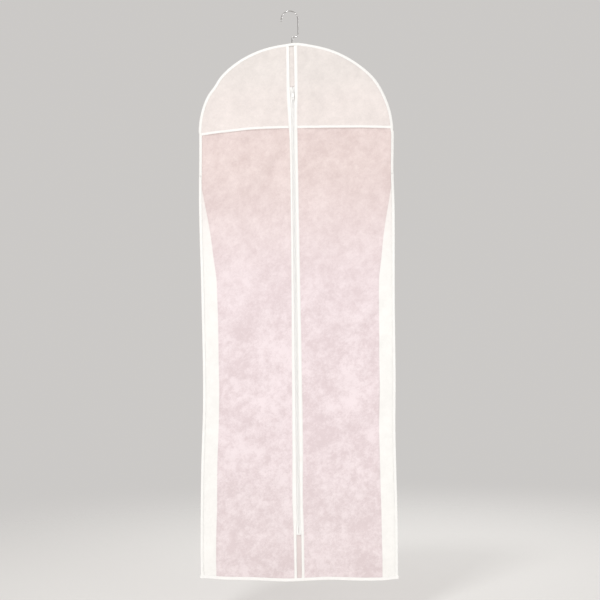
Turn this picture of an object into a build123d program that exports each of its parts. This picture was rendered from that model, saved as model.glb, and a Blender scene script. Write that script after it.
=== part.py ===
from build123d import *
from math import atan2, cos, radians, sin
import os

# A long white dress cover of nonwoven cloth, hanging closed on a swivel-hook hanger.
# Millimetres. +Z is up, the front with its zip faces -Y, and "left" is the -X side.
# The origin is the point of the hook that rests on the rod.

# Bag outline: straight sides under a half-ellipse that covers the shoulders.
half_width = 297.0
apex_z = -98.0
arch_rise = 272.0
bottom_z = -1741.0
spring_z = apex_z - arch_rise

# Depths of the layers. The cloth is drawn thicker than the real 0.3 mm.
fabric = 1.0
front_y = -11.0
back_y = 12.0
edge_tape_width = 8.0
edge_tape_front_y = -12.4
edge_tape_thickness = 2.0

# Folded side gussets.
gusset_top_z = -502.0
gusset_full_z = -820.0
gusset_depth = 46.0
gusset_top_depth = 5.0
gusset_edge_y = 9.8
gusset_clearance_x = 1.0

# Shoulder yoke and its hem.
yoke_front_y = -12.0
yoke_hem_front_y = -12.6
yoke_hem_top_z = -353.0
yoke_hem_bottom_z = -361.5

# Bottom tape, which sticks out past both corners.
bottom_tape_height = 10.0
bottom_tape_half_length = 301.0
bottom_tape_top_z = bottom_z + bottom_tape_height

# Placket hems each side of the zip.
hem_inner_x = 6.5
hem_outer_x = 14.5
hem_front_y = -12.8

# Zip.
zip_top_z = -233.0
zip_bottom_z = -1604.0
zip_gap_x = 0.8
tape_outer_x = 16.0
tape_thickness = 0.8
tape_front_y = front_y + fabric
coil_outer_x = 3.0
coil_height = 1.6
stop_height = 1.9
stop_length = 2.5
facing_gap_z = 0.5

# Zip slider, closed at the top of its travel.
slider_z = -245.0
slider_width = 9.0
slider_length = 12.0
slider_plate = 1.2
slider_front_y = -13.3
slider_back_y = -7.8
slider_post_x = 0.35
slider_flange = 1.0
slider_flange_tip_y = -10.4

# Bridge on the slider, and the pull tab that hangs from it.
bridge_half_width = 1.1
bridge_half_length = 4.2
bridge_leg = 1.4
bridge_rise = 3.6
bridge_bar = 1.2
pull_axis_y = -14.45
pull_bar_radius = 0.7
pull_eye_half_width = 1.7
pull_arm_half_width = 3.2
pull_window_end = 6.0
pull_thickness = 1.2
pull_length = 26.0
pull_half_width = 4.0

# Hook wire.
wire_radius = 1.8
hook_radius = 25.5
hook_centre_x = -6.5
hook_tip_angle = 190.0
hook_tip_radius = 2.6
leg_corner_z = -76.0
shank_corner_z = -79.5
leg_bend_radius = 8.0
shank_bend_radius = 6.0
hook_centre_z = wire_radius - hook_radius

# Hanger inside the bag.
hanger_half_thickness = 4.0
neck_half_width = 9.0
neck_top_z = -108.5
neck_floor_z = -124.0
window_half_width = 5.5
window_floor_z = -131.0
bore_radius = wire_radius + 0.05
head_radius = 3.6
head_height = 2.2
head_gap = 0.3
shoulder_x = 205.0
shoulder_z = -200.0
shoulder_bar_height = 20.0
hook_slot_half_width = 7.0


def front_plane(y):
    """A drawing plane at depth y that faces the front: its x is +X and its y is +Z."""
    return Plane(origin=(0, y, 0), x_dir=(1, 0, 0), z_dir=(0, -1, 0))


def layer(outline, near_y, far_y):
    """A flat piece with this front outline, from depth near_y back to far_y."""
    return extrude(front_plane(far_y) * outline, amount=far_y - near_y)


def block(x_min, x_max, z_min, z_max):
    """A rectangle in the front view."""
    middle = Pos((x_min + x_max) / 2, (z_min + z_max) / 2)
    return middle * Rectangle(x_max - x_min, z_max - z_min)


def bag_outline(inset):
    """The bag's front outline drawn in by inset, down to the top of the bottom tape."""
    half = half_width - inset
    arch = Pos(0, spring_z) * Ellipse(half, arch_rise - inset)
    return arch + block(-half, half, bottom_tape_top_z, spring_z)


def save(node, shape):
    """Writes one piece under its name."""
    export_step(shape, f"parts/{node}.step")


def save_pair(name, left_shape):
    """Writes a left piece and its mirror image."""
    save(f"{name}_left", left_shape)
    save(f"{name}_right", mirror(left_shape, about=Plane.YZ))


def make_panels():
    """Two front halves, the back, and the yoke layer over the shoulders with its hem."""
    cloth = bag_outline(edge_tape_width)
    half = cloth & block(-half_width, -hem_outer_x, bottom_z, 0)
    save_pair("front_panel", layer(half, front_y, front_y + fabric))
    save("back_panel", layer(cloth, back_y - fabric, back_y))
    yoke = half & block(-half_width, 0, yoke_hem_top_z, 0)
    save_pair("yoke", layer(yoke, yoke_front_y, front_y))
    hem = half & block(-half_width, 0, yoke_hem_bottom_z, yoke_hem_top_z)
    save_pair("yoke_hem", layer(hem, yoke_hem_front_y, front_y))


def gusset_section(depth, z):
    """The gusset's V at one height: its two edges at the seams, its fold pointing inward."""
    edge_x = -half_width + gusset_clearance_x
    slope = atan2(gusset_edge_y, depth)
    fold_x = edge_x + depth
    points = [
        (edge_x, -gusset_edge_y),
        (fold_x, 0),
        (edge_x, gusset_edge_y),
        (edge_x, gusset_edge_y - fabric / cos(slope)),
        (fold_x - fabric / sin(slope), 0),
        (edge_x, -gusset_edge_y + fabric / cos(slope)),
    ]
    return Plane(origin=(0, 0, z)) * Polygon(*points, align=None)


def make_gussets():
    """Side panels folded inward: nothing at the waist, then a full pleat to the bottom."""
    top = gusset_section(gusset_top_depth, gusset_top_z)
    full = gusset_section(gusset_depth, gusset_full_z)
    foot = gusset_section(gusset_depth, bottom_tape_top_z)
    taper = loft([full, top], ruled=True)
    straight = loft([foot, full], ruled=True)
    save_pair("gusset", taper + straight)


def make_edge_tapes():
    """Tape round the arch, tapes along the four long seams, and the bottom tape."""
    rim = bag_outline(0) - bag_outline(edge_tape_width)
    left_rim = rim & block(-half_width, -hook_slot_half_width, gusset_top_z, 0)
    save_pair("arch_binding", layer(left_rim, edge_tape_front_y, back_y))
    inner_x = edge_tape_width - half_width
    side = block(-half_width, inner_x, bottom_tape_top_z, gusset_top_z)
    front_far_y = front_y + fabric
    save_pair("side_binding_front", layer(side, edge_tape_front_y, front_far_y))
    save_pair("side_binding_back", layer(side, back_y - edge_tape_thickness, back_y))
    length = bottom_tape_half_length
    foot = block(-length, length, bottom_z, bottom_tape_top_z)
    save("bottom_binding", layer(foot, edge_tape_front_y, back_y))


def make_placket():
    """The two hems beside the zip, and the cloth strips above and below the zip."""
    cloth = bag_outline(edge_tape_width)
    hem = cloth & block(-hem_outer_x, -hem_inner_x, bottom_z, 0)
    save_pair("placket_hem", layer(hem, hem_front_y, front_y + fabric))
    behind_y = tape_front_y + fabric
    top = cloth & block(-hem_outer_x, hem_outer_x, zip_top_z + facing_gap_z, 0)
    save("zip_top_facing", layer(top, tape_front_y, behind_y))
    low_z = zip_bottom_z - facing_gap_z
    low = block(-hem_outer_x, hem_outer_x, bottom_tape_top_z, low_z)
    save("zip_bottom_facing", layer(low, tape_front_y, behind_y))


def make_zip():
    """Zip tapes, the two coils with a slit for the slider's post, and the stops."""
    tape = block(-tape_outer_x, -zip_gap_x, zip_bottom_z, zip_top_z)
    save_pair("zip_tape", layer(tape, tape_front_y, tape_front_y + tape_thickness))
    coil_top_z = zip_top_z - stop_length - 1
    coil_bottom_z = zip_bottom_z + stop_length + 1
    coil = layer(
        block(-coil_outer_x, -zip_gap_x, coil_bottom_z, coil_top_z),
        tape_front_y - coil_height,
        tape_front_y,
    )
    rounded = fillet(coil.edges().filter_by(Axis.Z).group_by(Axis.Y)[0], 0.6)
    save_pair("zip_coil", rounded)
    stop_x = coil_outer_x + 0.3
    stop_front_y = tape_front_y - stop_height
    upper = block(-stop_x, -zip_gap_x, zip_top_z - stop_length - 0.5, zip_top_z - 0.5)
    left_stop = layer(upper, stop_front_y, tape_front_y)
    both = Compound(children=[left_stop, mirror(left_stop, about=Plane.YZ)])
    save("zip_top_stops", both)
    lower = block(-stop_x, stop_x, zip_bottom_z + 0.5, zip_bottom_z + stop_length + 0.5)
    save("zip_bottom_stop", layer(lower, stop_front_y, tape_front_y))


def make_slider():
    """Two plates joined by a post, side flanges round the coil, and the bridge."""
    plate = Pos(0, slider_z) * RectangleRounded(slider_width, slider_length, 2.5)
    inner_front_y = slider_front_y + slider_plate
    inner_back_y = slider_back_y - slider_plate + 0.2
    front_plate = layer(plate, slider_front_y, inner_front_y)
    back_plate = layer(plate, inner_back_y, slider_back_y)
    half = slider_length / 2
    post = layer(
        block(-slider_post_x, slider_post_x, slider_z + 1.5, slider_z + half - 0.8),
        inner_front_y,
        inner_back_y,
    )
    edge_x = slider_width / 2
    flange = layer(
        block(-edge_x, slider_flange - edge_x, slider_z - half + 2.5, slider_z + half - 2.5),
        inner_front_y,
        slider_flange_tip_y,
    )
    top_y = slider_front_y - bridge_rise
    arch = layer(
        block(
            -bridge_half_width,
            bridge_half_width,
            slider_z - bridge_half_length,
            slider_z + bridge_half_length,
        ),
        top_y,
        slider_front_y,
    )
    ends = arch.edges().filter_by(Axis.X).group_by(Axis.Y)[0]
    arch = fillet(ends, 1.2)
    opening = layer(
        block(
            -bridge_half_width,
            bridge_half_width,
            slider_z - bridge_half_length + bridge_leg,
            slider_z + bridge_half_length - bridge_leg,
        ),
        top_y + bridge_bar,
        slider_front_y,
    )
    body = front_plate + back_plate + post + flange + mirror(flange, about=Plane.YZ)
    save("zip_slider", body + (arch - opening))


def make_pull_tab():
    """A flat tab with a square eye whose bar turns under the slider's bridge."""
    bar = Plane(origin=(0, pull_axis_y, slider_z), z_dir=(1, 0, 0)) * Cylinder(
        pull_bar_radius, 2 * pull_arm_half_width
    )
    top_z = slider_z + pull_bar_radius
    near_y = pull_axis_y - pull_thickness / 2
    far_y = pull_axis_y + pull_thickness / 2
    arms = block(
        -pull_arm_half_width, pull_arm_half_width, slider_z - pull_window_end - 2, slider_z
    )
    window = block(
        -pull_eye_half_width, pull_eye_half_width, slider_z - pull_window_end, top_z
    )
    grip_top_z = slider_z - pull_window_end - 1.5
    grip_bottom_z = slider_z - pull_length
    grip_middle = Pos(0, (grip_top_z + grip_bottom_z) / 2)
    grip_outline = RectangleRounded(2 * pull_half_width, grip_top_z - grip_bottom_z, 1.8)
    finger_hole = Pos(0, grip_bottom_z + 4.5) * SlotOverall(4.2, 2.2)
    flat = layer(
        (arms - window) + grip_middle * grip_outline - finger_hole, near_y, far_y
    )
    save("zip_pull_tab", flat + bar)


def make_hook():
    """Round wire: ball tip, open loop, straight leg, jog back to the shank, riveted end."""
    shank_end_z = neck_floor_z - head_gap
    tip = radians(hook_tip_angle)
    tip_point = (
        hook_centre_x + hook_radius * cos(tip),
        hook_centre_z + hook_radius * sin(tip),
    )
    leg_x = hook_centre_x + hook_radius
    loop = CenterArc(
        (hook_centre_x, hook_centre_z), hook_radius, 0, hook_tip_angle
    )
    stem = FilletPolyline(
        (leg_x, hook_centre_z),
        (leg_x, leg_corner_z),
        (0, shank_corner_z),
        (0, shank_end_z),
        radius=[leg_bend_radius, shank_bend_radius],
    )
    drawing = front_plane(0)
    route = drawing * (loop + stem)
    section = Plane(origin=(0, 0, shank_end_z)) * Circle(wire_radius)
    wire = sweep(section, path=route)
    ball = Pos(tip_point[0], 0, tip_point[1]) * Sphere(hook_tip_radius)
    head_middle = Pos(0, 0, shank_end_z - head_height / 2)
    head = head_middle * Cylinder(head_radius, head_height)
    save("hanger_hook", wire + ball + head)


def make_hanger():
    """A flat moulded hanger: sloping shoulder bar, and a neck with the hook's bore."""
    top_edge = Spline(
        (0, window_floor_z + 4),
        (70, window_floor_z - 8),
        (shoulder_x, shoulder_z),
        tangents=[(1, 0), (1, -0.62)],
    )
    low_edge = Spline(
        (shoulder_x - 4, shoulder_z - shoulder_bar_height),
        (70, window_floor_z - 34),
        (0, window_floor_z - 24),
        tangents=[(-1, 0.5), (-1, 0)],
    )
    outline = make_face(
        [
            top_edge,
            Line(top_edge @ 1, low_edge @ 0),
            low_edge,
            Line(low_edge @ 1, top_edge @ 0),
        ]
    )
    arm = layer(outline, -hanger_half_thickness, hanger_half_thickness)
    neck_outline = block(-neck_half_width, neck_half_width, window_floor_z, neck_top_z)
    neck = layer(neck_outline, -hanger_half_thickness, hanger_half_thickness)
    neck = fillet(neck.edges().group_by(Axis.Z)[-1], 2.0)
    window = block(-window_half_width, window_half_width, window_floor_z, neck_floor_z)
    cut = layer(window, -hanger_half_thickness - 1, hanger_half_thickness + 1)
    bore_middle = Pos(0, 0, (neck_top_z + neck_floor_z) / 2)
    bore = bore_middle * Cylinder(bore_radius, neck_top_z - neck_floor_z + 2)
    body = arm + mirror(arm, about=Plane.YZ) + neck
    save("hanger_body", body - cut - bore)


make_panels()
make_gussets()
make_edge_tapes()
make_placket()
make_zip()
make_slider()
make_pull_tab()
make_hook()
make_hanger()
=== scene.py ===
import random
from bisect import bisect_right
from math import acos, cos, exp, hypot, pi, radians, sin, sqrt

import bpy
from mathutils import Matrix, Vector, noise


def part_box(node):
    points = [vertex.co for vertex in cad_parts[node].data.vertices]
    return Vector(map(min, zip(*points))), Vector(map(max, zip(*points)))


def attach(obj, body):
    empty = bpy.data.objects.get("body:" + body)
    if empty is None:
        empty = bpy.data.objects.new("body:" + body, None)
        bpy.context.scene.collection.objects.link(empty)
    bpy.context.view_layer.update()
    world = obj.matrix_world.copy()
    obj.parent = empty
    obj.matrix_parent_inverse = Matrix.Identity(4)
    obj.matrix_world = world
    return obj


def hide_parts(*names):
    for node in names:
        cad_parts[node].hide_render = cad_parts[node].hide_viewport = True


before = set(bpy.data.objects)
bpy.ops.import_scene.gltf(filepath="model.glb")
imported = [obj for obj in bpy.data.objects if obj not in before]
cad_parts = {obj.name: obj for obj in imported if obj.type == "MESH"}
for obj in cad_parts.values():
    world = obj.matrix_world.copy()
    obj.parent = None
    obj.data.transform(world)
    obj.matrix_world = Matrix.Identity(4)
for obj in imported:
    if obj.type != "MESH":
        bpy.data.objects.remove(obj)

# A white nonwoven garment bag, in metres. The front faces -Y, +Z is up, and left is -X.
# Keys of outlines are written in millimetres and turned into metres by through().

MM = 0.001
LEFT, RIGHT = -1, 1
SIDES = {LEFT: "left", RIGHT: "right"}
FRONT, BACK = -1, 1
FACES = {FRONT: "front", BACK: "back"}
outward = {face: Vector((0, face, 0)) for face in FACES}

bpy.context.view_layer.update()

# Places read from the CAD frame.
arch_top_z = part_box("arch_binding_left")[1].z
gusset_top_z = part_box("gusset_left")[1].z
foot_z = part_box("bottom_binding")[0].z
foot_tape_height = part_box("bottom_binding")[1].z - foot_z
belly = {FRONT: -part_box("front_panel_left")[0].y, BACK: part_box("back_panel")[1].y}
zip_tape_low, zip_tape_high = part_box("zip_tape_right")
coil_foot_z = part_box("zip_coil_right")[0].z
slider_low, slider_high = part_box("zip_slider")

# Layers of cloth and tape.
cloth_thickness = 0.4 * MM
yoke_lift = 0.7 * MM
yoke_hem_lift = 1.4 * MM
tape_lift = 1.25 * MM
tape_thickness = 0.45 * MM
tape_width = 8.2 * MM
tape_overhang = 0.6 * MM
tape_seam_inset = 1.7 * MM
foot_tape_lift = 1.4 * MM
foot_tape_overhang = 3.2 * MM
foot_seam_inset = 1.8 * MM
hem_thickness = 1.8 * MM
hem_rise = 0.15 * MM
yoke_hem_height = 7.6 * MM
slot_half_width = 7 * MM
facing_half_width = 14 * MM
facing_overlap = 24 * MM
behind_slider = -slider_high.y - 0.9 * MM

# How thick the bag is: thin at its seams, fuller inside them, closed at the foot.
foot_depth = 2.2 * MM
hanger_depth = 5.4 * MM
shoulder_width = 12 * MM
belly_width = 110 * MM
foot_closing = 90 * MM


# Curves


def clamp(value, low=0.0, high=1.0):
    return min(high, max(low, value))


def smooth(t):
    """0 below 0, 1 above 1, and a smooth rise between."""
    t = clamp(t)
    return t * t * (3 - 2 * t)


def bump(at, middle, spread):
    """A smooth hill 1 high at middle."""
    return exp(-(((at - middle) / spread) ** 2))


def mix(a, b, t):
    return a + (b - a) * t


def spread(a, b, count):
    """The ends of count equal steps from a to b, both ends among them."""
    return [mix(a, b, i / count) for i in range(count + 1)]


def through(*keys):
    """A smooth curve through (place, value) keys given in millimetres, level past both ends."""
    keys = sorted((place * MM, value * MM) for place, value in keys)
    places = [place for place, _ in keys]
    values = [value for _, value in keys]
    slopes = [0.0] * len(keys)
    for i in range(1, len(keys) - 1):
        slopes[i] = (values[i + 1] - values[i - 1]) / (places[i + 1] - places[i - 1])

    def at(place):
        if place <= places[0]:
            return values[0]
        if place >= places[-1]:
            return values[-1]
        i = bisect_right(places, place) - 1
        span = places[i + 1] - places[i]
        t = (place - places[i]) / span
        lean = slopes[i] * t * (1 - t) ** 2 - slopes[i + 1] * t * t * (1 - t)
        return mix(values[i], values[i + 1], t * t * (3 - 2 * t)) + span * lean

    return at


# The bag's outline

arch_centre_x = 8.4 * MM
arch_half_width = 298 * MM
arch_rise = 269.5 * MM
arch_peak = 3 * MM
spring_z = arch_top_z - 271 * MM

side_edge = {
    LEFT: through(
        (-1741, -301.8), (-1622, -301), (-1400, -295.8), (-1180, -287),
        (-850, -288), (-590, -291.6), (-371, -288.3),
    ),
    RIGHT: through(
        (-1741, 301.8), (-1540, 302.4), (-1300, 299.8), (-1127, 302.6),
        (-870, 303.6), (-600, 307.2), (-490, 305.6), (-371, 308.3),
    ),
}
foot_edge = through(
    (-303, -1734), (-229, -1739.6), (-150, -1742), (-45, -1747.8), (15, -1746.6),
    (90, -1744.4), (190, -1748.4), (255, -1748.4), (306, -1744.5),
)
seam_depth = through((-820, 9), (-502, 1.6))
gusset_reach = through(
    (-1741, 47), (-1500, 49), (-1100, 48.5), (-830, 47.5), (-763, 41),
    (-695, 34.5), (-628, 24.5), (-561, 12.5), (-502, 4),
)
yoke_hem_line = through(
    (-288, -373.5), (-247, -369), (-192, -363.8), (-131, -358.1), (-69, -355.7),
    (38, -355.4), (206, -356.2), (308, -359),
)
hem_half = through(
    (-1741, 15.6), (-1340, 16.5), (-1040, 15), (-740, 13),
    (-400, 12.3), (-320, 14.4), (-250, 17.2), (-100, 16.9),
)
hem_sway = through(
    (-1741, 0), (-1590, -0.4), (-1497, -2.4), (-1340, 0), (-740, 1.4),
    (-400, 0.8), (-310, -1.4), (-100, -1.4),
)
hem_gap = through(
    (-1741, 7.1), (-1596, 7), (-1560, 4.8), (-300, 4.8), (-246, 6.6), (-100, 7.1),
)
hem_gap_sway = through((-300, 0), (-240, -1.3), (-100, -1.6))


def bulge(side, z):
    """How far the arch stands out from its ellipse: dented on the left, fuller on the right."""
    if side == LEFT:
        return -4.3 * MM * bump(z, -226 * MM, 20 * MM)
    return 3.8 * MM * bump(z, -208 * MM, 40 * MM)


def arch_point(angle):
    """A point (x, z) on the arch's edge, from angle 0 at the right spring to pi at the left."""
    x = arch_centre_x + arch_half_width * cos(angle)
    z = spring_z + arch_rise * sin(angle)
    side = LEFT if cos(angle) < 0 else RIGHT
    return x + side * bulge(side, z), z + arch_peak * bump(x, 15 * MM, 28 * MM)


def edge_x(side, z):
    """The bag's outer edge at this height."""
    if z <= spring_z:
        return side_edge[side](z)
    up = min(1.0, (z - spring_z) / arch_rise)
    return arch_centre_x + side * (arch_half_width * sqrt(1 - up * up) + bulge(side, z))


def edge_distance(x, z):
    """How far inside the bag's outer edge a point of the front view is."""
    if z <= spring_z:
        return min(x - edge_x(LEFT, z), edge_x(RIGHT, z) - x)
    side = LEFT if x < arch_centre_x else RIGHT
    across = (x - arch_centre_x) / (arch_half_width + bulge(side, z))
    up = (z - spring_z) / arch_rise
    return (1 - hypot(across, up)) * arch_half_width


def hem_edges(side, z):
    """Inner and outer edge of a placket hem."""
    inner = hem_gap_sway(z) + side * hem_gap(z)
    outer = hem_sway(z) + side * hem_half(z)
    return inner, outer


def edge_path(side, step):
    """Points (x, z) down the bag's outer edge, from beside the hook to the gusset's top."""
    slot = acos((side * slot_half_width - arch_centre_x) / arch_half_width)
    spring = pi if side == LEFT else 0.0
    line = [arch_point(angle) for angle in spread(slot, spring, 200)]
    line += [(edge_x(side, z), z) for z in spread(spring_z, gusset_top_z, 40)[1:]]
    return evenly(line, step)


def evenly(points, step):
    """The same line with its points about step apart."""
    points = [Vector(p) for p in points]
    runs = [0.0]
    for a, b in zip(points, points[1:]):
        runs.append(runs[-1] + (b - a).length)
    count = max(2, round(runs[-1] / step))
    spaced = []
    for i in range(count + 1):
        want = runs[-1] * i / count
        k = clamp(bisect_right(runs, want) - 1, 0, len(points) - 2)
        t = (want - runs[k]) / max(1e-12, runs[k + 1] - runs[k])
        spaced.append(points[k].lerp(points[k + 1], t))
    return spaced


# The cloth's surface

settled = {}


def right_slack(x, z):
    """How far the right half falls back from the placket: a short dip, and a broad hollow."""
    beyond = x - hem_edges(RIGHT, z)[1]
    dip = 1.5 * MM * smooth(beyond / (8 * MM)) * (1 - smooth((beyond - 8 * MM) / (35 * MM)))
    hollow = 3 * MM * bump(x, 85 * MM, 45 * MM) * bump(z, -520 * MM, 170 * MM)
    return dip + hollow


def shoulder_crease(x, z):
    """The soft ridge the hanger's shoulder presses into the front, plainer on the right."""
    inner, outer = Vector((70 * MM, -120 * MM)), Vector((195 * MM, -196 * MM))
    run = outer - inner
    point = Vector((abs(x), z)) - inner
    share = point.dot(run) / run.length_squared
    off = (point - run * share).length
    along = smooth((share + 0.15) / 0.3) * (1 - smooth((share - 0.85) / 0.35))
    height = 2.2 * MM if x > 0 else 0.9 * MM
    return height * along * bump(off, 0.0, 13 * MM)


def flap_lift(x, z):
    """How far the yoke hangs off the panel: its hem hangs free between placket and side."""
    low = 1 - smooth((z - yoke_hem_line(x)) / (45 * MM))
    free = smooth((abs(x) - 18 * MM) / (30 * MM))
    free *= smooth((edge_distance(x, z) - tape_width) / (30 * MM))
    return yoke_lift + yoke_hem_lift * low * free


def plain_depth(face, x, z):
    """How far a face of the bag stands from its middle plane, before the cloth ripples."""
    edge = max(0.0, edge_distance(x, z))
    seam = seam_depth(z)
    inner = max(seam + 0.5 * MM, hanger_depth)
    depth = mix(seam, inner, sin(pi / 2 * min(1.0, edge / shoulder_width)))
    depth += (belly[face] - inner) * smooth(edge / belly_width)
    if face == FRONT:
        depth += shoulder_crease(x, z)
    if face == FRONT and x > 0:
        depth -= right_slack(x, z)
    return mix(foot_depth, depth, smooth((z - foot_edge(x)) / foot_closing))


def pucker(x, z):
    """Small gathers that a seam pulls into the cloth beside it."""
    edge = max(0.0, edge_distance(x, z))
    height, reach = 0.5 * MM, 22 * MM
    along = noise.noise(Vector((x * 70, z * 70, 4.0)))
    return height * along * exp(-edge / reach)


def ripple(face, x, z):
    """How far the hanging cloth swings forward of its plain shape."""
    field = settled.get((face, LEFT if x < 0 else RIGHT)) or settled.get((face, 0))
    swing = field(x, z) if field else 0.0
    slow = 1.1 * MM * noise.noise(Vector((x * 7, z * 1.7, 9.0 + face)))
    crumple = 0.35 * MM * noise.noise(Vector((x * 26, z * 17, 2.0 + face)))
    calm = smooth(edge_distance(x, z) / (45 * MM))
    calm *= smooth((z - foot_edge(x)) / (60 * MM))
    if face == FRONT:
        calm *= smooth((abs(x) - 17 * MM) / (45 * MM))
    return calm * (swing + slow + crumple) + pucker(x, z)


def surface_y(face, x, z, lift=0.0):
    """Depth of the outside of the front or back cloth, and lift outside that."""
    return face * (plain_depth(face, x, z) + ripple(face, x, z) + lift)


def on_cloth(face, x, z, lift=0.0):
    return Vector((x, surface_y(face, x, z, lift), z))


# Meshes


def add_object(name, data):
    made = bpy.data.objects.new(name, data)
    bpy.context.scene.collection.objects.link(made)
    return made


def add_mesh(name, points, faces):
    mesh = bpy.data.meshes.new(name)
    mesh.from_pydata([tuple(p) for p in points], [], faces)
    return add_object(name, mesh)


def make_piece(name, points, faces, finish):
    """A smooth-shaded mesh that rides on the bag."""
    piece = add_mesh(name, points, faces)
    piece.data.shade_smooth()
    piece.data.materials.append(materials[finish])
    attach(piece, "bag")
    return piece


def grid_faces(rows, columns):
    """Quads between rows of points that hold this many points each."""
    return [
        (a, a + 1, a + columns + 1, a + columns)
        for r in range(rows - 1) for a in range(r * columns, (r + 1) * columns - 1)
    ]


def flipped(faces):
    return [tuple(reversed(face)) for face in faces]


def make_sheet(name, rows, out, finish, thickness=cloth_thickness):
    """A sheet through rows of points. Its first face looks outward, and it thickens inward."""
    faces = grid_faces(len(rows), len(rows[0]))
    points = [p for row in rows for p in row]
    a, b, _, d = faces[0]
    normal = (points[b] - points[a]).cross(points[d] - points[a])
    if normal.dot(out) < 0:
        faces = flipped(faces)
    piece = make_piece(name, points, faces, finish)
    solid = piece.modifiers.new("thickness", "SOLIDIFY")
    solid.thickness = thickness
    solid.offset = -1.0
    return piece


def make_strip(name, stations, finish):
    """A rounded flat strip that faces forward. Each station is its middle, the way across it,
    its half width and its half thickness."""
    around, squareness, rounding = 14, 1.25, 0.18
    out = outward[FRONT]
    points, faces = [], []
    for middle, across, half_width, half_thickness in stations:
        for k in range(around):
            turn = 2 * pi * (k + 0.5) / around
            wide = clamp(squareness * cos(turn), -1.0)
            thick = clamp(squareness * sin(turn), -1.0)
            corner = 1 - rounding * abs(wide * thick)
            offset = across * (half_width * wide) + out * (half_thickness * thick * corner)
            points.append(middle + offset)
    for s in range(len(stations) - 1):
        for k in range(around):
            a = s * around + k
            b = s * around + (k + 1) % around
            faces.append((a, b, b + around, a + around))
    last = (len(stations) - 1) * around
    faces.append(tuple(reversed(range(around))))
    faces.append(tuple(last + k for k in range(around)))
    middle, across, _, _ = stations[0]
    if across.cross(out).dot(stations[1][0] - middle) < 0:
        faces = flipped(faces)
    return make_piece(name, points, faces, finish)


def add_beads(points, faces, middle, along, across, out, rings, sides):
    """Adds one closed bead: rings are (place along, width, height), from tip to tip."""
    first = len(points)
    points.append(middle + along * rings[0][0])
    for place, width, height in rings[1:-1]:
        for k in range(sides):
            turn = 2 * pi * k / sides
            offset = across * (width * cos(turn)) + out * (height * sin(turn))
            points.append(middle + along * place + offset)
    points.append(middle + along * rings[-1][0])
    last = len(points) - 1
    loops = len(rings) - 2
    made = []
    for k in range(sides):
        j = (k + 1) % sides
        made.append((first, first + 1 + j, first + 1 + k))
        for r in range(loops - 1):
            a = first + 1 + r * sides
            made.append((a + k, a + j, a + sides + j, a + sides + k))
        end = first + 1 + (loops - 1) * sides
        made.append((end + k, end + j, last))
    faces.extend(flipped(made) if along.cross(across).dot(out) < 0 else made)


stitch_length = 2.7 * MM
stitch_pitch = 3.8 * MM
stitch_slip = 0.12 * MM
stitch_tilt = 0.05
stitch_rings = [(-0.5, 0, 0), (-0.36, 0.24, 0.2), (0.0, 0.3, 0.3), (0.36, 0.24, 0.2), (0.5, 0, 0)]


def make_stitches(name, seams):
    """Rows of lockstitch. Each seam is the face of the bag that it is on, and its points."""
    luck = random.Random(name)
    rings = [(at * stitch_length, w * MM, h * MM) for at, w, h in stitch_rings]
    points, faces = [], []
    for face, path in seams:
        out = outward[face]
        line = evenly(path, stitch_pitch)
        for a, b in zip(line, line[1:]):
            along = (b - a).normalized()
            across = along.cross(out).normalized()
            slip = stitch_slip * luck.uniform(-1, 1)
            tilt = (along + across * luck.uniform(-stitch_tilt, stitch_tilt)).normalized()
            middle = (a + b) / 2 + across * slip
            add_beads(points, faces, middle, tilt, tilt.cross(out), out, rings, 5)
    return make_piece(name, points, faces, "thread")


def sew_on(tape, seams, node=None):
    """Stitches a tape or hem, and hides the CAD node that it stands for, if one is given."""
    if node:
        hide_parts(node)
    place = tape.name.split("_", 1)[1]
    stitches = make_stitches(f"stitches_{place}", seams)


# Materials


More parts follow.
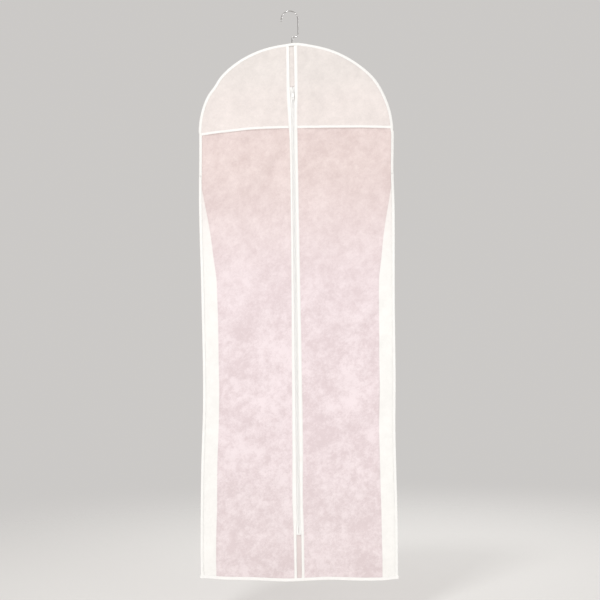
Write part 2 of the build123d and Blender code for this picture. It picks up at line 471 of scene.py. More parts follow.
class Look:
    """A material made of nodes, worked in the object's own coordinates."""

    def __init__(self, name):
        self.material = bpy.data.materials.new(name)
        self.material.use_nodes = True
        self.tree = self.material.node_tree
        self.shader = self.tree.nodes["Principled BSDF"]
        self.place = self.node("TexCoord").outputs["Object"]

    def node(self, kind, inputs=None, **settings):
        made = self.tree.nodes.new("ShaderNode" + kind)
        for key, value in settings.items():
            setattr(made, key, value)
        for key, value in (inputs or {}).items():
            self.feed(made.inputs[key], value)
        return made

    def feed(self, socket, value):
        """Links or sets a socket. A colour is three numbers."""
        if isinstance(value, bpy.types.NodeSocket):
            self.tree.links.new(value, socket)
        else:
            socket.default_value = (*value, 1.0) if socket.type == "RGBA" else value

    def set(self, **values):
        """Sets the shader's own sockets, with _ for a space in their names."""
        for key, value in values.items():
            self.feed(self.shader.inputs[key.replace("_", " ")], value)

    def stretched(self, scale, turn=0.0):
        """Coordinates turned about the depth axis by turn degrees, then scaled."""
        sizes = tuple(1 / axis for axis in scale)
        settings = {"Vector": self.place, "Rotation": (0, radians(turn), 0), "Scale": sizes}
        return self.node("Mapping", settings, vector_type="TEXTURE").outputs["Vector"]

    def noise(self, scale, detail=2.0, roughness=0.5, vector=None, distortion=0.0):
        settings = {
            "Vector": vector or self.place, "Scale": scale, "Detail": detail,
            "Roughness": roughness, "Distortion": distortion,
        }
        return self.node("TexNoise", settings).outputs["Fac"]

    def ramp(self, value, low, high, to_low=0.0, to_high=1.0, kind="SMOOTHSTEP"):
        settings = {
            "Value": value, "From Min": low, "From Max": high,
            "To Min": to_low, "To Max": to_high,
        }
        return self.node("MapRange", settings, interpolation_type=kind).outputs["Result"]

    def math(self, operation, a, b=0.0):
        return self.node("Math", {0: a, 1: b}, operation=operation).outputs[0]

    def product(self, a, b):
        return self.math("MULTIPLY", a, b)

    def blend(self, factor, a, b, how="MIX"):
        """Colour a changed towards b. Inputs 6 and 7 and output 2 are the node's colours."""
        mixed = self.node("Mix", {0: factor, 6: a, 7: b}, data_type="RGBA", blend_type=how)
        return mixed.outputs[2]

    def shaded(self, base, value, at_low, at_high, kind="SMOOTHSTEP"):
        """Colour base times a grey: at_low where value is 0, at_high where it is 1."""
        grey = self.ramp(value, 0.0, 1.0, at_low, at_high, kind)
        settings = {"Red": grey, "Green": grey, "Blue": grey}
        shade = self.node("CombineColor", settings).outputs["Color"]
        return self.blend(1.0, base, shade, "MULTIPLY")

    def relief(self, height, distance, strength, under=None):
        """A bump, on top of another bump if one is given."""
        settings = {"Height": height, "Distance": distance, "Strength": strength}
        if under is not None:
            settings["Normal"] = under
        return self.node("Bump", settings).outputs["Normal"]


def web_of_fibres(look, turns=(12, 71, 128)):
    """Fine filaments that cross each other at several angles, 0 to 1."""
    web = None
    for turn in turns:
        stretched = look.stretched((1500, 1500, 65), turn)
        grain = look.noise(1.0, 1.0, 0.4, stretched, 0.6)
        ridge = look.math("ABSOLUTE", look.math("SUBTRACT", grain, 0.5))
        filament = look.ramp(ridge, 0.0, 0.045, 1.0, 0.0)
        web = filament if web is None else look.math("MAXIMUM", web, filament)
    return web


def bond_points(look):
    """Rows of small pressed dots that hold the fibres together, 1 in each dot."""
    apart = look.node("SeparateXYZ", {"Vector": look.place})
    flat = look.node("CombineXYZ", {"X": apart.outputs["X"], "Y": apart.outputs["Z"]})
    turned = look.node(
        "Mapping", {"Vector": flat.outputs["Vector"], "Rotation": (0, 0, radians(45))}
    )
    settings = {"Vector": turned.outputs["Vector"], "Scale": 560.0, "Randomness": 0.0}
    cells = look.node("TexVoronoi", settings, voronoi_dimensions="2D")
    return look.ramp(cells.outputs["Distance"], 0.2, 0.34, 1.0, 0.0)


def clouds_of_fibre(look, z, strength):
    """How thick the web is, 0 to 1: broad clouds and slanted streaks, plainer low on the bag."""
    broad = look.product(look.noise(8.0, 8.0, 0.88), 0.6)
    streaks = look.noise(1.0, 5.0, 0.8, look.stretched((42, 42, 52), -40))
    clouds = look.math("ADD", broad, look.product(streaks, 0.4))
    clouds = look.math("SUBTRACT", clouds, 0.5)
    clouds = look.product(clouds, look.ramp(z, -1.15, -0.7, 1.6 * strength, strength))
    return look.ramp(clouds, -0.2, 0.2, kind="LINEAR")


def gusset_behind(look, z, base, body):
    """Colour base with the white gusset seen through it, and a painted shade line beside its
    fold, where the fold's shadow falls.
    """
    inside = look.node("Attribute", attribute_name="pleat_mm").outputs["Fac"]
    outside = look.ramp(inside, -0.4, 0.2, 1.0, 0.0)
    # Painted shade: a soft darker line on the cloth just inside the fold, standing in for its
    # shadow.
    rim = look.product(look.ramp(inside, -9.0, -0.5), outside)
    base = look.blend(look.product(rim, 0.35), base, (0.93, 0.945, 0.94), "MULTIPLY")
    doubled = look.blend(body, (0.885, 0.875, 0.85), (0.92, 0.91, 0.885))
    fading = look.ramp(z, -0.83, -0.5, 1.0, 0.62)
    return look.blend(look.product(look.ramp(inside, -0.7, 0.7), fading), base, doubled)


def nonwoven(name, tint, thin_tint, cloud, strips=False, heights=()):
    """Spunbonded cloth: a cloudy web of fibres held by pressed dots.

    tint is the colour where the web is thick, thin_tint where it is thin. heights adds painted
    shade, slow darkening towards the top, foot or shoulders, and strips shows the gusset folded
    behind the cloth."""
    look = Look(name)
    z = look.node("SeparateXYZ", {"Vector": look.place}).outputs["Z"]
    body = clouds_of_fibre(look, z, cloud)
    web = web_of_fibres(look)
    dots = bond_points(look)
    # The clouds between thin_tint and tint are the web's own thickness. The pink, stronger where
    # the web is thin, is painted light: red light from behind seen through the thin white cloth.
    base = look.blend(body, thin_tint, tint)
    # Painted shade: slow darkening of the colour towards the top, the foot or the shoulders.
    for low, high, change in heights:
        base = look.blend(look.ramp(z, low, high), base, change, "MULTIPLY")
    base = look.shaded(base, web, 0.985, 1.02)
    base = look.shaded(base, dots, 1.0, 0.965)
    if strips:
        base = gusset_behind(look, z, base, body)
    pressed = look.math("SUBTRACT", look.product(web, 0.5), dots)
    normal = look.relief(body, 0.9 * MM, 0.35)
    normal = look.relief(pressed, 0.12 * MM, 0.5, normal)
    look.set(Base_Color=base, Roughness=look.ramp(body, 0.0, 1.0, 0.9, 0.78), Normal=normal)
    look.set(Sheen_Weight=0.12, Sheen_Roughness=0.45, Specular_IOR_Level=0.25)
    return look.material


def tape_cloth(name, tint, shade):
    """Folded binding tape: dense nonwoven with fine crosswise ribs and a little wear."""
    look = Look(name)
    cloud = look.noise(55.0, 4.0, 0.6)
    ribs = look.noise(1.0, 1.0, 0.3, look.stretched((900, 900, 900)))
    web = web_of_fibres(look, (33, 96, 160))
    dots = bond_points(look)
    wear = look.product(look.ramp(look.noise(19.0, 5.0, 0.7), 0.52, 0.72), 0.25)
    base = look.blend(look.ramp(cloud, 0.3, 0.7, kind="LINEAR"), shade, tint)
    base = look.blend(wear, base, (0.93, 0.92, 0.9), "MULTIPLY")
    pressed = look.math("SUBTRACT", look.product(web, 0.5), dots)
    normal = look.relief(ribs, 0.1 * MM, 0.4)
    normal = look.relief(pressed, 0.1 * MM, 0.45, normal)
    look.set(Base_Color=look.shaded(base, web, 0.985, 1.01), Normal=normal)
    look.set(Roughness=look.ramp(cloud, 0.3, 0.7, 0.86, 0.74))
    look.set(Sheen_Weight=0.12, Sheen_Roughness=0.4, Specular_IOR_Level=0.3)
    return look.material


def zip_weave(name):
    """Polyester zip tape: a fine herringbone twill."""
    look = Look(name)
    twill = []
    for turn in (38, -38):
        settings = {"Scale": 260.0, "Distortion": 1.2, "Detail": 1.0}
        settings["Vector"] = look.stretched((1, 1, 1), turn)
        bands = look.node("TexWave", settings, wave_type="BANDS", bands_direction="X")
        twill.append(bands.outputs["Fac"])
    weave = look.product(*twill)
    cloud = look.ramp(look.noise(60.0, 3.0), 0.3, 0.7)
    base = look.blend(cloud, (0.975, 0.968, 0.955), (0.99, 0.983, 0.97))
    look.set(Base_Color=look.shaded(base, weave, 0.98, 1.0, "LINEAR"))
    look.set(Roughness=look.ramp(weave, 0.0, 1.0, 0.85, 0.68, "LINEAR"))
    look.set(Normal=look.relief(weave, 0.12 * MM, 0.6), Sheen_Weight=0.15, Sheen_Roughness=0.4)
    return look.material


def thread(name):
    """Twisted polyester sewing thread."""
    look = Look(name)
    twist = look.noise(1.0, 2.0, 0.5, look.stretched((2600, 2600, 1500), 30))
    tone = look.ramp(twist, 0.3, 0.7, kind="LINEAR")
    look.set(Base_Color=look.blend(tone, (0.8, 0.79, 0.765), (0.9, 0.89, 0.87)))
    look.set(Roughness=look.ramp(twist, 0.3, 0.7, 0.62, 0.45))
    look.set(Normal=look.relief(twist, 0.06 * MM, 0.6), Sheen_Weight=0.2, Sheen_Roughness=0.3)
    return look.material


def nylon(name):
    """White nylon monofilament."""
    look = Look(name)
    cloud = look.ramp(look.noise(320.0, 2.0), 0.35, 0.65)
    base = look.blend(cloud, (0.985, 0.975, 0.96), (0.995, 0.988, 0.975))
    look.set(Base_Color=base, Coat_Weight=0.15, Coat_Roughness=0.2)
    look.set(Roughness=look.ramp(look.noise(700.0, 2.0), 0.3, 0.7, 0.3, 0.46))
    look.set(Normal=look.relief(look.noise(1600.0, 2.0), 0.03 * MM, 0.4))
    return look.material


def enamel(name):
    """White stove enamel on a die-cast slider, rubbed a little where it is handled."""
    look = Look(name)
    rubbed = look.ramp(look.noise(420.0, 5.0, 0.7), 0.6, 0.78)
    cloud = look.noise(150.0, 2.0)
    white = look.blend(cloud, (0.92, 0.915, 0.9), (0.95, 0.945, 0.93))
    base = look.blend(look.product(rubbed, 0.3), white, (0.78, 0.77, 0.75))
    look.set(Base_Color=base, Coat_Weight=0.5, Coat_Roughness=0.12)
    look.set(Roughness=look.ramp(rubbed, 0.0, 1.0, 0.24, 0.5))
    look.set(Normal=look.relief(look.noise(900.0, 3.0), 0.04 * MM, 0.3))
    return look.material


def polished_steel(name):
    """Bright plated wire with faint drawing marks and handling haze."""
    look = Look(name)
    marks = look.noise(1.0, 3.0, 0.6, look.stretched((2400, 2400, 60)))
    haze = look.ramp(look.noise(90.0, 4.0, 0.65), 0.4, 0.7)
    base = look.blend(haze, (0.56, 0.55, 0.545), (0.46, 0.45, 0.445))
    drawn = look.ramp(marks, 0.3, 0.7, 0.1, 0.2)
    look.set(Base_Color=base, Metallic=1.0)
    look.set(Roughness=look.math("ADD", drawn, look.product(haze, 0.1)))
    look.set(Normal=look.relief(marks, 0.02 * MM, 0.25))
    return look.material


def moulded_plastic(name):
    """Satin polypropylene with a fine moulded grain."""
    look = Look(name)
    grain = look.noise(1500.0, 3.0, 0.6)
    flow = look.ramp(look.noise(24.0, 3.0), 0.35, 0.65)
    look.set(Base_Color=look.blend(flow, (0.82, 0.82, 0.8), (0.87, 0.87, 0.855)))
    look.set(Roughness=look.ramp(grain, 0.3, 0.7, 0.38, 0.52))
    look.set(Normal=look.relief(grain, 0.05 * MM, 0.4))
    look.set(Subsurface_Weight=0.1, Subsurface_Scale=0.002)
    return look.material


# Painted shade up the bag, for how light falls on its top, foot and shoulders: none at the first
# height, whole at the second.
top_painted_shade = (-0.9, -0.42, (0.945, 0.92, 0.866))
foot_painted_shade = (-1.25, -1.62, (0.975, 0.985, 0.975))
shoulder_painted_shade = (-0.29, -0.17, (0.96, 0.978, 0.975))

# The shell, yoke and facing colours are white cloth with painted light: their pink stands in for
# red light from behind seen through the thin cloth.
materials = {
    "panel": nonwoven(
        "shell nonwoven", (0.866, 0.76, 0.782), (0.734, 0.62, 0.638), 2.1,
        strips=True, heights=(top_painted_shade, foot_painted_shade),
    ),
    "yoke": nonwoven(
        "yoke nonwoven", (0.859, 0.787, 0.759), (0.746, 0.684, 0.66), 1.7,
        heights=(shoulder_painted_shade,),
    ),
    "gusset": nonwoven("gusset nonwoven", (0.9, 0.885, 0.86), (0.85, 0.83, 0.81), 0.8),
    "facing": nonwoven("facing nonwoven", (0.78, 0.69, 0.68), (0.7, 0.61, 0.6), 0.6),
    "tape": tape_cloth("binding tape", (0.935, 0.93, 0.91), (0.905, 0.897, 0.875)),
    "weave": zip_weave("zip tape twill"),
    "thread": thread("sewing thread"),
    "nylon": nylon("zip nylon"),
    "enamel": enamel("slider enamel"),
    "steel": polished_steel("hook steel"),
    "plastic": moulded_plastic("hanger plastic"),
}


# Cloth panels

panel_step = 5.5 * MM
half_columns = 50
seam_allowance = 0.6 * MM


def panel_rows(face, side, step):
    """Heights of a panel's rows: even down the sides, and by angle round the arch."""
    arch_rows = round(0.5 * pi * arch_rise / step)
    top = radians(88)
    if face == FRONT:
        seam = sum(hem_edges(side, arch_top_z)) / 2 + side * 3 * MM
        top = acos(max(0.01, side * (seam - arch_centre_x) / arch_half_width))
    rows = [spring_z + arch_rise * sin(angle) for angle in spread(top, 0.0, arch_rows)[:-1]]
    return rows + spread(spring_z, foot_z + 1.2 * MM, round((spring_z - foot_z) / step))


def panel_span(face, side, z):
    """Where a panel starts and ends across the bag at one height, in +X order."""
    left = edge_x(LEFT, z) + seam_allowance
    right = edge_x(RIGHT, z) - seam_allowance
    if face == BACK:
        return left, right
    seam = sum(hem_edges(side, z)) / 2
    if side == LEFT:
        return left, max(left, seam)
    return min(right, seam), right


def panel_points(face, side, heights, columns, lift=None):
    """Rows of points over a panel, which follow the bag's foot as they near it. lift(x, z)
    raises them off the bag's surface."""
    grid = []
    for height in heights:
        near_foot = smooth((spring_z - height) / (spring_z - foot_z)) ** 4
        row = []
        for x in spread(*panel_span(face, side, height), columns):
            z = height + near_foot * (foot_edge(x) - foot_z)
            row.append(on_cloth(face, x, z, lift(x, z) if lift else 0.0))
        grid.append(row)
    return grid


def mark_pleat(piece):
    """Stores how far each point is inside the gusset's fold line, in millimetres."""
    marks = piece.data.attributes.new("pleat_mm", "FLOAT", "POINT")
    for vertex, mark in zip(piece.data.vertices, marks.data):
        x, _, z = vertex.co
        wander = 1.2 * MM * noise.noise(Vector((z * 9, 3.0 if x < 0 else 8.0, 1.0)))
        reach = gusset_reach(z) + wander if z < gusset_top_z else 0.0
        mark.value = (reach - edge_distance(x, z)) / MM


def hang(cloth, frames):
    """Lets a mesh hang as slack cloth, held by its group, and returns its points' depths."""
    modifier = cloth.modifiers.new("cloth", "CLOTH")
    weave = modifier.settings
    weave.quality = 7
    weave.mass = 0.06
    weave.tension_stiffness = 25
    weave.compression_stiffness = 25
    weave.shear_stiffness = 12
    weave.bending_stiffness = 0.6
    weave.shrink_min = weave.shrink_max = -0.0035
    weave.vertex_group_mass = "held"
    modifier.point_cache.frame_start = 1
    modifier.point_cache.frame_end = frames
    scene = bpy.context.scene
    for at in range(1, frames + 1):
        scene.frame_set(at)
    hung = cloth.evaluated_get(bpy.context.evaluated_depsgraph_get()).data
    depths = [vertex.co.y for vertex in hung.vertices]
    scene.frame_set(1)
    bpy.data.objects.remove(cloth)
    return depths


def settle(face, side):
    """Lets a panel hang from its seams, and returns how far it swings out at any (x, z)."""
    step, frames, most = 13 * MM, 26, 2.2 * MM
    width = 0.57 if face == BACK else 0.28
    columns = round(width / step)
    wide = columns + 1
    heights = panel_rows(face, side, step)
    points = [p for row in panel_points(face, side, heights, columns) for p in row]
    cloth = add_mesh("settling", points, grid_faces(len(heights), wide))
    held = cloth.vertex_groups.new(name="held")
    for i in range(len(points)):
        if i < wide or i >= len(points) - wide or i % wide in (0, columns):
            held.add([i], 1.0, "REPLACE")
    depths = hang(cloth, frames)
    swings = [clamp(face * (depth - p.y), -most, most) for depth, p in zip(depths, points)]
    downward = [-z for z in heights]

    def swing(x, z):
        r = clamp(bisect_right(downward, -z) - 1, 0, len(heights) - 2)
        t = clamp((heights[r] - z) / (heights[r] - heights[r + 1]))
        left, right = panel_span(face, side, z)
        along = clamp((x - left) / max(MM, right - left), 0.0, 0.9999) * columns
        c = int(along)
        a = r * wide + c
        upper = mix(swings[a], swings[a + 1], along - c)
        lower = mix(swings[a + wide], swings[a + wide + 1], along - c)
        return mix(upper, lower, t)

    return swing


def make_panel(name, node, face, side, columns):
    """The back, or half of the front from the zip to the side seam."""
    points = panel_points(face, side, panel_rows(face, side, panel_step), columns)
    panel = make_sheet(name, points, outward[face], "panel")
    mark_pleat(panel)
    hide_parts(node)


def make_yoke(side):
    """Half of the yoke: level rows, and then a few that come down to the slanted hem line."""
    level_end = yoke_hem_line(206 * MM) + 12 * MM
    span_z = level_end - 16 * MM
    heights = [z for z in panel_rows(FRONT, side, panel_step) if z > level_end]
    rows = panel_points(FRONT, side, heights, half_columns, flap_lift)
    last = rows[-1]
    ends = spread(*panel_span(FRONT, side, span_z), half_columns)
    for share in spread(0.0, 1.0, 5)[1:]:
        row = []
        for start, end_x in zip(last, ends):
            x = mix(start.x, end_x, share)
            z = mix(start.z, yoke_hem_line(end_x), share)
            row.append(on_cloth(FRONT, x, z, flap_lift(x, z)))
        rows.append(row)
    name = SIDES[side]
    yoke = make_sheet(f"cloth_yoke_{name}", rows, outward[FRONT], "yoke")
    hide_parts(f"yoke_{name}")


hanging = {key: settle(*key) for key in ((FRONT, LEFT), (FRONT, RIGHT), (BACK, 0))}
settled.update(hanging)

for side, name in SIDES.items():
    node = f"front_panel_{name}"
    make_panel(f"cloth_front_{name}", node, FRONT, side, half_columns)
    make_yoke(side)
make_panel("cloth_back", "back_panel", BACK, 0, 2 * half_columns)


# Gussets


def gusset_y(face, side, edge, z):
    """Depth of a gusset leaf, edge inside the seam: on the seam at 0, at the fold at its end."""
    at_fold, under_tape, most_slack = 0.3 * MM, 0.45 * MM, 0.5 * MM
    seam = mix(foot_depth, seam_depth(z), smooth((z - foot_z) / foot_closing)) - under_tape
    share = clamp(edge / gusset_reach(z))
    slack = most_slack * sin(pi * share) * noise.noise(Vector((z * 11, side * 3.0, face)))
    return face * (at_fold + (seam - at_fold) * (1 - share**1.2)) + slack


def make_gusset(side):
    """A V of cloth: one leaf from the front seam in to the fold, and one out to the back seam."""
    leaf = 12
    rows = []
    for share in spread(0.0, 1.0, 240):
        seam_x = edge_x(side, mix(gusset_top_z, foot_z, share)) - side * 0.8 * MM
        z = mix(gusset_top_z, foot_edge(seam_x) + 2 * MM, share)
        row = []
        for k in range(-leaf, leaf + 1):
            edge = gusset_reach(z) * (1 - abs(k) / leaf)
            face = FRONT if k <= 0 else BACK
            y = gusset_y(face, side, edge, z) if k else 0.0
            row.append(Vector((seam_x - side * edge, y, z)))
        rows.append(row)
    piece = make_sheet(f"cloth_gusset_{SIDES[side]}", rows, outward[BACK], "gusset")
    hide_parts(f"gusset_{SIDES[side]}")


for side in SIDES:
    make_gusset(side)


# Binding tapes

# Shares of a tape's width at its rows of points, from its sewn edge to its fold.
leg_places = (1.0, 0.86, 0.68, 0.5, 0.34, 0.2, 0.09)


def along_edge(path, side):
    """Points (x, z) along an edge, each with the unit vector that points into the bag."""
    for i, point in enumerate(path):
        ahead = path[min(i + 1, len(path) - 1)] - path[max(i - 1, 0)]
        yield point, (side * Vector((ahead.y, -ahead.x))).normalized()


def lay_on(face, point, inward, edge, lift):
    """A point of the bag's face, edge inside its outline, and lift outside its cloth."""
    return on_cloth(face, *(point + inward * edge), lift)


def tape_wobble(point, seed):
    """The small unevenness of a tape sewn by hand and eye."""
    return noise.noise(Vector((point.x * 30, point.y * 30, seed)))


def uneven_tape(point, width_seed, lift_seed):
    """A tape's width and its lift off the cloth at a point of its edge."""
    wide = tape_width + 0.35 * MM * tape_wobble(point, width_seed)
    return wide, tape_lift + 0.12 * MM * tape_wobble(point, lift_seed)


def make_arch_tape(side):
    """The tape folded over both cloths, from beside the hook to the gusset's top."""
    name = SIDES[side]
    tip = 0.9 * MM
    rows, seams = [], {FRONT: [], BACK: []}
    for point, inward in along_edge(edge_path(side, 4.5 * MM), side):
        wide, lift = uneven_tape(point, 1.0, 6.0)
        legs = {
            face: [lay_on(face, point, inward, wide * share, lift) for share in leg_places]
            for face in FACES
        }
        x, z = point - inward * tape_overhang
        tips = [Vector((x, -tip, z)), Vector((x, tip, z))]
        rows.append(legs[FRONT] + tips + legs[BACK][::-1])
        for face in FACES:
            seams[face].append(lay_on(face, point, inward, wide - tape_seam_inset, lift))
    piece = make_sheet(f"tape_arch_{name}", rows, outward[FRONT], "tape", tape_thickness)
    sew_on(piece, seams.items(), f"arch_binding_{name}")


def make_side_tape(face, side):
    """The tape folded over one long seam, between a panel and the gusset."""
    name = f"{FACES[face]}_{SIDES[side]}"
    inside_gusset, least_depth, tip = 1.0 * MM, 0.35 * MM, 0.4 * MM
    foot = foot_edge(edge_x(side, foot_z)) + 3 * MM
    path = [Vector((edge_x(side, z), z)) for z in spread(gusset_top_z, foot, 270)]
    rows, seam = [], []
    for point, inward in along_edge(path, side):
        wide, lift = uneven_tape(point, 2.0 + face, 8.0)
        outer = [lay_on(face, point, inward, wide * share, lift) for share in leg_places]
        inner = []
        for share in reversed(leg_places):
            x, z = point + inward * (wide * share)
            depth = face * gusset_y(face, side, wide * share, z) - inside_gusset
            inner.append(Vector((x, face * max(depth, least_depth), z)))
        tip_y = (outer[-1].y + inner[0].y) / 2
        x, z = point - inward * tape_overhang
        tips = [Vector((x, tip_y + face * tip, z)), Vector((x, tip_y - face * tip, z))]
        rows.append(outer + tips + inner)
        seam.append(lay_on(face, point, inward, wide - tape_seam_inset, lift))
    piece = make_sheet(f"tape_side_{name}", rows, outward[face], "tape", tape_thickness)
    sew_on(piece, [(face, seam)], f"side_binding_{name}")


def on_foot(face, x, z):
    """A point of the foot tape's face, also where it sticks out past the bag's corners."""
    inside = clamp(x, edge_x(LEFT, z) + MM, edge_x(RIGHT, z) - MM)
    return Vector((x, surface_y(face, inside, z, foot_tape_lift), z))


def make_foot_tape():
    """The tape along the bottom, whose ends stick out past both corners."""
    left = edge_x(LEFT, foot_z) - foot_tape_overhang
    right = edge_x(RIGHT, foot_z) + foot_tape_overhang
    rows, seams = [], {FRONT: [], BACK: []}
    for x in spread(left, right, 150):
        edge = Vector((x, foot_edge(x)))
        high = foot_tape_height + 0.4 * MM * tape_wobble(edge, 5.0)
        front = [on_foot(FRONT, x, edge.y + high * share) for share in leg_places]
        back = [on_foot(BACK, x, edge.y + high * share) for share in reversed(leg_places)]
        tips = [Vector((x, y, edge.y - tape_overhang)) for y in (-MM, MM)]
        rows.append(front + tips + back)
        for face in FACES:
            seams[face].append(on_foot(face, x, edge.y + high - foot_seam_inset))
    piece = make_sheet("tape_foot", rows, outward[FRONT], "tape", tape_thickness)
    sew_on(piece, seams.items(), "bottom_binding")


def make_hook_lip(face):
    """A short tape that bridges the hook's slot, in front of its shank or behind it."""
    thickness = 0.35 * MM
    reach = slot_half_width + 4 * MM
    wire_clearance, tip_depth, tip_rise = 2.5 * MM, 1.5 * MM, 0.25 * MM
    rows, seam = [], []
    for x in spread(-reach, reach, 28):
        top = arch_point(acos((x - arch_centre_x) / arch_half_width))[1]
        opened = wire_clearance * bump(x, 0.0, 5 * MM)

        def below(drop):
            depth = face * surface_y(face, x, top - drop, tape_lift + thickness)
            return Vector((x, face * max(depth, opened), top - drop))

        row = [below((tape_width + 0.2 * MM) * share) for share in leg_places]
        row.append(Vector((x, face * max(tip_depth, opened), top + tape_overhang + tip_rise)))
        rows.append(row)
        seam.append(below(tape_width - tape_seam_inset))
    piece = make_sheet(f"tape_hook_{FACES[face]}", rows, outward[face], "tape", thickness)
    sew_on(piece, [(face, seam)])


for side in SIDES:
    make_arch_tape(side)
    for face in FACES:
        make_side_tape(face, side)
make_foot_tape()
for face in FACES:
    make_hook_lip(face)


# Hems


def arch_under_tape(x):
    """How high a strip at x can reach under the arch's tape."""
    share = min(1.0, abs(x - arch_centre_x) / arch_half_width)
    return spring_z + arch_rise * sqrt(1 - share * share) - 3 * MM


def tucked(x, z):
    """1 on open cloth, and 0 under the tape along the bag's outline."""
    edge = min(edge_distance(x, z), z - foot_edge(x) - 2 * MM)
    return smooth((edge - tape_width) / (6 * MM))


def make_placket_hem(side):
    """The hem beside the zip, from the arch's tape to the foot's, with two rows of stitches."""
    name = SIDES[side]
    top = arch_under_tape(hem_edges(side, arch_top_z)[1])
    foot = foot_edge(0.0) + 4 * MM
    tucked_half, sunk, stitch_sink = 0.3 * MM, 0.8 * MM, 0.12 * MM
    stations, outer_row, inner_row = [], [], []
    for z in spread(top, foot, 400):
        inner, outer = hem_edges(side, z)
        x = (inner + outer) / 2
        open_share = tucked(x, z)
        thick = mix(tucked_half, hem_thickness / 2, open_share)
        y = surface_y(FRONT, outer, z) - mix(sunk, hem_rise, open_share)
        half_width = abs(outer - inner) / 2
        stations.append((Vector((x, y, z)), Vector((side, 0, 0)), half_width, thick))
        on_top = y - thick + stitch_sink
        outer_row.append(Vector((outer - side * 1.7 * MM, on_top, z)))
        inner_row.append(Vector((inner + side * 1.6 * MM, on_top, z)))
    piece = make_strip(f"hem_placket_{name}", stations, "tape")
    seams = [(FRONT, outer_row), (FRONT, inner_row)]
    sew_on(piece, seams, f"placket_hem_{name}")


def make_yoke_hem(side):
    """The hem along the yoke's lower edge, with a row of stitches near each of its edges."""
    name = SIDES[side]
    start = hem_edges(side, yoke_hem_line(0.0))[1] - side * 0.8 * MM
    end = edge_x(side, yoke_hem_line(side * arch_half_width)) - side * 4 * MM
    tucked_half, open_half, stitch_sink = 0.25 * MM, 0.5 * MM, 0.1 * MM
    seam_offset = 2.5 * MM
    stations, seams = [], {seam_offset: [], -seam_offset: []}
    for x in spread(start, end, 70):
        z = yoke_hem_line(x)
        lean = (yoke_hem_line(x + MM) - yoke_hem_line(x - MM)) / (2 * MM)
        across = Vector((-lean, 0, 1)).normalized()
        open_share = tucked(x, z)
        thick = mix(tucked_half, open_half, open_share)
        y = surface_y(FRONT, x, z, flap_lift(x, z)) - 0.05 * MM * open_share
        stations.append((Vector((x, y, z)), across, yoke_hem_height / 2, thick))
        for offset, row in seams.items():
            row.append(Vector((x, y - thick + stitch_sink, z)) + across * offset)
    piece = make_strip(f"hem_yoke_{name}", stations, "tape")
    seams = [(FRONT, row) for row in seams.values()]
    sew_on(piece, seams, f"yoke_hem_{name}")


for side in SIDES:
    make_placket_hem(side)
    make_yoke_hem(side)


# Zip


def make_facing(name, top_z, low_z, finish, cad_node):
    """A strip of cloth behind the placket's gap, past an end of the zip. It dips behind the
    zip's tapes, and behind the place where the slider stands."""
    least_depth, behind_face, most_slack = 3 * MM, 1.1 * MM, 0.25 * MM
    rows = []
    for z in spread(top_z, low_z, max(30, round((top_z - low_z) / (2 * MM)))):
        past_end = min(zip_tape_high.z - z, z - zip_tape_low.z)
        hidden = smooth((past_end + 5 * MM) / (9 * MM))
        row = []
        for across in spread(-facing_half_width, facing_half_width, 8):
            x = hem_sway(z) + across
            depth = max(least_depth, plain_depth(FRONT, x, z)) - behind_face
            slack = most_slack * noise.noise(Vector((x * 90, z * 40, 5.0)))
            row.append(Vector((x, -mix(depth, behind_slider, hidden) + slack, z)))
        rows.append(row)
    piece = make_sheet(name, rows, outward[FRONT], finish)
    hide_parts(cad_node)


def parked(z):
    """Whether the slider's post stands here at an end of its travel, or above the closed zip."""
    return z > slider_low.z - MM or z < coil_foot_z + 18 * MM


def make_zip_tape(side):
    name = SIDES[side]
    low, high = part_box(f"zip_tape_{name}")
    outer = max((low.x, high.x), key=abs)
    y = (low.y + high.y) / 2
    half_thickness = (high.y - low.y) / 2 - 0.08 * MM
    post_clearance, closed_gap = 0.42 * MM, 0.06 * MM
    stations = []
    for z in spread(high.z, low.z, 340):
        inner = side * (post_clearance if parked(z) else closed_gap)
        middle = Vector(((inner + outer) / 2, y, z))
        stations.append((middle, Vector((side, 0, 0)), abs(outer - inner) / 2, half_thickness))
    piece = make_strip(f"zip_weave_{name}", stations, "weave")
    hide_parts(f"zip_tape_{name}")


tooth_pitch = 2.0 * MM
tooth_reach = 0.45 * MM
# A tooth from root to tip: share of its length, width in mm, share of the coil's half height.
tooth_rings = [
    (0.0, 0, 0), (0.05, 0.5, 0.6), (0.25, 0.62, 0.86),
    (0.6, 0.58, 0.94), (0.92, 0.46, 0.8), (1.0, 0, 0),
]


def make_teeth(side):
    """One half of the nylon coil: a bar for each turn, which ends in a rounded head. It reaches
    over the zip's middle line, and stops short of it where the slider's post stands."""
    name = SIDES[side]
    low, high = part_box(f"zip_coil_{name}")
    root = max(abs(low.x), abs(high.x)) + 0.3 * MM
    y = (low.y + high.y) / 2
    half_y = (high.y - low.y) / 2
    offset = 0.0 if side == LEFT else tooth_pitch / 2
    inward, up = Vector((-side, 0, 0)), Vector((0, 0, 1))
    points, faces = [], []
    z = high.z - tooth_pitch / 2 - offset
    while z > low.z + tooth_pitch / 2:
        length = root + (-tooth_reach if parked(z) else tooth_reach)
        rings = [(at * length, wide * MM, share * half_y) for at, wide, share in tooth_rings]
        start = Vector((side * root, y, z))
        add_beads(points, faces, start, inward, up, outward[FRONT], rings, 7)
        z -= tooth_pitch
    piece = make_piece(f"zip_teeth_{name}", points, faces, "nylon")
    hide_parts(f"zip_coil_{name}")


make_facing(
    "cloth_facing_top", arch_under_tape(0.0), zip_tape_high.z - facing_overlap,
    "yoke", "zip_top_facing",
)
make_facing(
    "cloth_facing_foot", zip_tape_low.z + facing_overlap, foot_edge(0.0) + 3 * MM,
    "facing", "zip_bottom_facing",
)
for side in SIDES:
    make_zip_tape(side)
    make_teeth(side)


# Carried CAD nodes

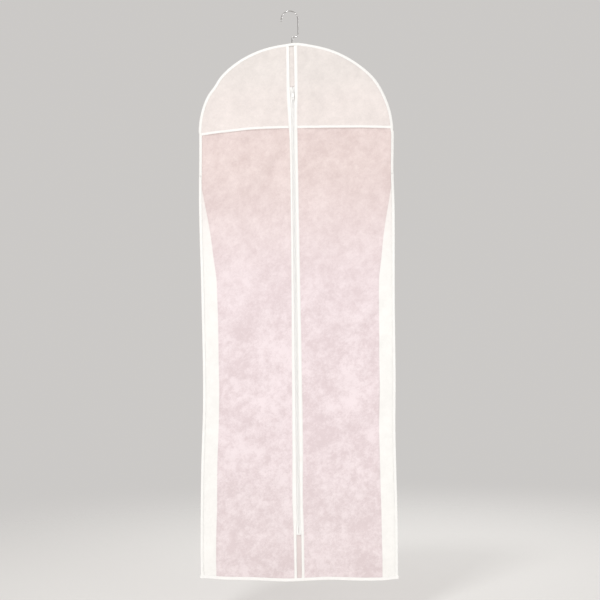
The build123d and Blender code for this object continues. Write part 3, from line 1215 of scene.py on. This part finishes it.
for node, finish in {
    "zip_slider": "enamel", "zip_pull_tab": "enamel", "zip_top_stops": "nylon",
    "zip_bottom_stop": "nylon", "hanger_hook": "steel", "hanger_body": "plastic",
}.items():
    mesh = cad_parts[node].data
    mesh.materials.clear()
    mesh.materials.append(materials[finish])


# Stage


def stage_floor():
    """A pale round floor under the hanging bag, which fades into the background."""
    radius, spokes, gap_below = 4.0, 64, 0.12
    turns = [2 * pi * s / spokes for s in range(spokes)]
    rim = [(radius * cos(turn), radius * sin(turn), 0) for turn in turns]
    floor = add_mesh("studio_floor", rim, [tuple(range(spokes))])
    floor.location.z = foot_z - gap_below
    look = Look("studio floor")
    look.set(Base_Color=(0.74, 0.73, 0.715), Roughness=0.9)
    apart = look.node("VectorMath", {0: look.place}, operation="LENGTH").outputs["Value"]
    look.set(Alpha=look.ramp(apart, 0.6, 3.4, 1.0, 0.0))
    floor.data.materials.append(look.material)


# Soft lights: place, size in metres and power in watts.
lamps = {
    "top": ((-1.0, -2.4, 3.2), 0.7, 62),
    "key": ((-2.1, -3.5, -1.1), 1.2, 40),
    "fill": ((2.4, -3.2, -1.0), 1.6, 34),
    "back": ((1.2, 3.4, 0.9), 1.8, 70),
}


def light_studio():
    """A pale world, and the lamps, which all face the middle of the bag."""
    world = bpy.data.worlds.new("studio")
    world.use_nodes = True
    world.node_tree.nodes["Background"].inputs["Color"].default_value = (0.6, 0.585, 0.57, 1.0)
    bpy.context.scene.world = world
    middle = Vector((0, 0, (arch_top_z + foot_z) / 2))
    for name, (place, size, power) in lamps.items():
        lamp = bpy.data.lights.new(name, "AREA")
        lamp.size = size
        lamp.energy = power
        light = add_object(name, lamp)
        light.location = place
        light.rotation_euler = (middle - Vector(place)).to_track_quat("-Z", "Y").to_euler()
    bpy.context.scene.view_settings.view_transform = "Standard"


def add_camera():
    """The camera stands level in front of the bag, turned a little about its line of sight."""
    lens = bpy.data.cameras.new("camera")
    lens.lens = 85
    lens.sensor_width = 36
    camera = add_object("camera", lens)
    camera.location = (0.0135, -4.347, -0.885)
    camera.rotation_euler = (pi / 2, radians(0.8), 0)
    bpy.context.scene.camera = camera


stage_floor()
light_studio()
add_camera()
